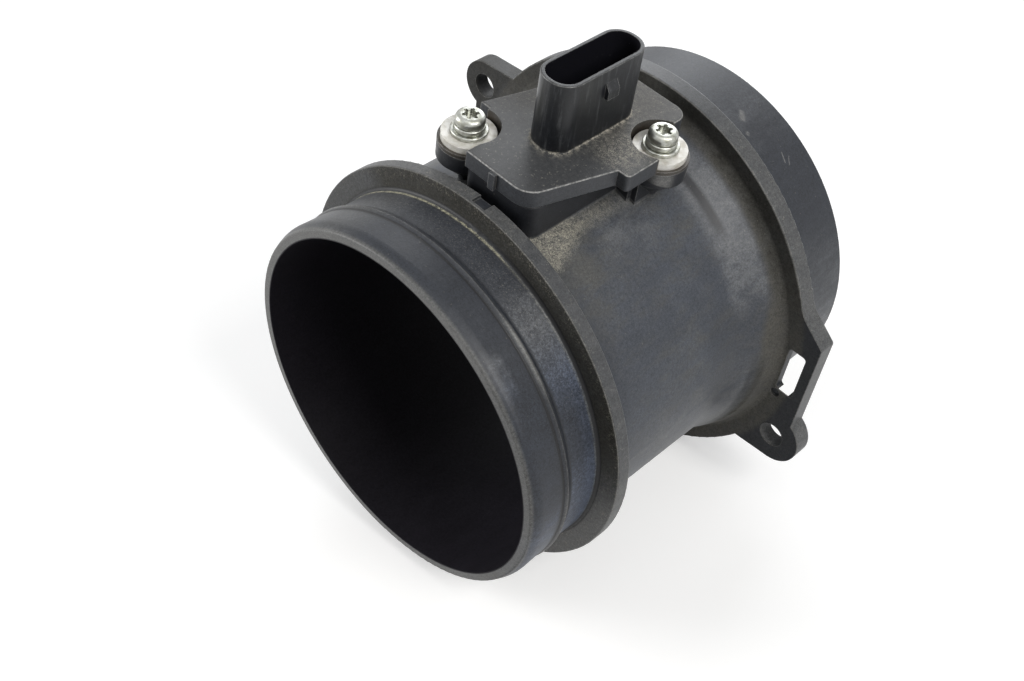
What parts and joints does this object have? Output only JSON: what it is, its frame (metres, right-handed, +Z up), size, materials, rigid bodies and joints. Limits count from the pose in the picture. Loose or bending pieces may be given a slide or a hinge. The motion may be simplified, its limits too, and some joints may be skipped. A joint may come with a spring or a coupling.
{
  "type": "mass airflow sensor",
  "caption": "Moulded intake air duct with hose spigot, bolt-eared flange and a plug-in hot-film air mass sensor module screwed on top.",
  "frame": {"origin": "centre of the hose mouth, on the duct axis in the plane of the mouth", "axes": "+Y along the air duct from the hose mouth to the rear spigot, +Z up through the sensor plate and its connector, +X to the right"},
  "size_m": [0.134, 0.1159, 0.138],
  "materials": {
    "housing_plastic": "moulded, satin with a fine grain",
    "sensor_plastic": "moulded, smooth satin",
    "cover_plastic": "moulded, smooth",
    "carrier_metal": "rolled sheet",
    "board_ceramic": "fired alumina",
    "chip_plastic": "moulded package",
    "capacitor_ceramic": "fired",
    "film_ceramic": "polished silicon",
    "bead_glass": "glazed bead on a wire",
    "seal_rubber": "moulded",
    "sleeve_metal": "passivated plating",
    "screw_metal": "bright zinc plating",
    "insert_brass": "turned",
    "pin_metal": "tin-plated"
  },
  "bodies": {
    "root": {"housing_tube": "housing_plastic", "sensor_body": "sensor_plastic", "channel_cover": "cover_plastic", "circuit_cover": "cover_plastic", "carrier_plate": "carrier_metal", "circuit_board": "board_ceramic", "signal_chip": "chip_plastic", "filter_capacitor_front": "capacitor_ceramic", "filter_capacitor_rear": "capacitor_ceramic", "sensing_chip": "film_ceramic", "air_temperature_probe": "bead_glass", "neck_seal": "seal_rubber", "mounting_sleeve_front": "sleeve_metal", "mounting_sleeve_rear": "sleeve_metal", "flat_washer_front": "screw_metal", "lock_washer_front": "screw_metal", "sensor_screw_front": "screw_metal", "thread_insert_front": "insert_brass", "flat_washer_rear": "screw_metal", "lock_washer_rear": "screw_metal", "sensor_screw_rear": "screw_metal", "thread_insert_rear": "insert_brass", "contact_pin_1": "pin_metal", "contact_pin_2": "pin_metal", "contact_pin_3": "pin_metal", "contact_pin_4": "pin_metal", "contact_pin_5": "pin_metal"}
  },
  "joints": []
}
